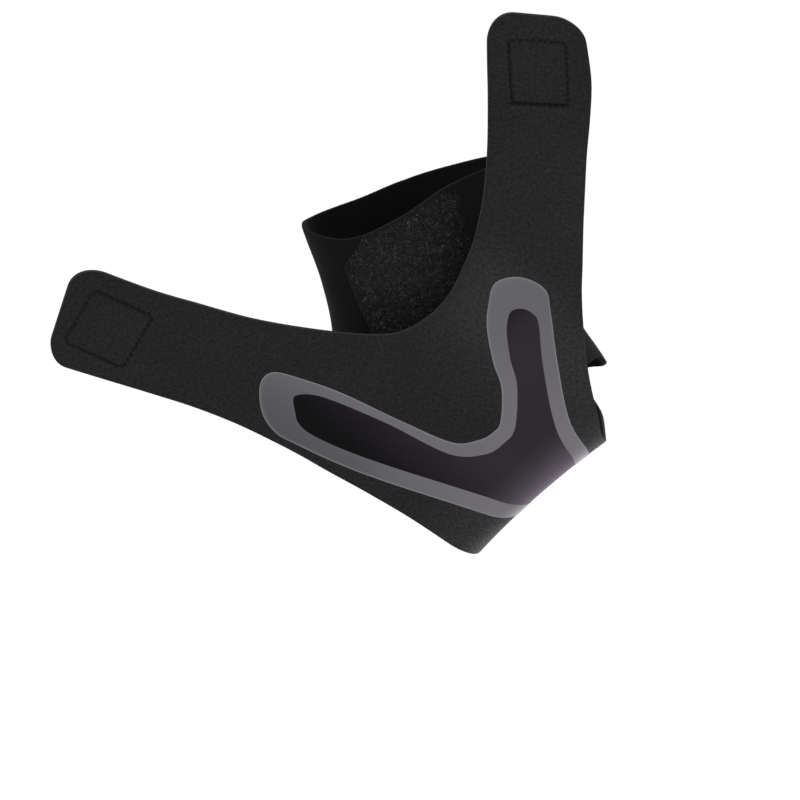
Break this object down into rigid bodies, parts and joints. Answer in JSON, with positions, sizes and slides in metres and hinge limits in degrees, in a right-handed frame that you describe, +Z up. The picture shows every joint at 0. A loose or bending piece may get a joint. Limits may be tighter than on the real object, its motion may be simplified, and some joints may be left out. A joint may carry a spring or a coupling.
{
  "type": "ankle brace",
  "caption": "Wrap-around ankle brace of thin neoprene: an open-heel sleeve, a band under the foot and straps up the outer side, both undone.",
  "frame": {"origin": "middle of the ankle inside the sleeve, where the leg holds the brace", "axes": "+Z up, +X towards the heel, -Y the outer side of the ankle; the leg leans back over the heel's far side and the toes point down"},
  "size_m": [0.2499, 0.1238, 0.2702],
  "materials": {
    "sleeve_fabric": "smooth black knit over neoprene, matt",
    "wrap_fabric": "fine black knit over neoprene foam, matt with a faint grey speckle",
    "loop_pile": "black unbroken loop pile with small bright curls",
    "stripe_film": "smooth mid-grey transfer film, satin",
    "hook_tape": "black woven hook tape"
  },
  "bodies": {
    "root": {"ankle_sleeve": "sleeve_fabric", "foot_wrap": "wrap_fabric", "loop_panel": "loop_pile", "contour_stripe": "stripe_film", "front_hook_patch": "hook_tape", "rear_hook_patch": "hook_tape"}
  },
  "joints": []
}
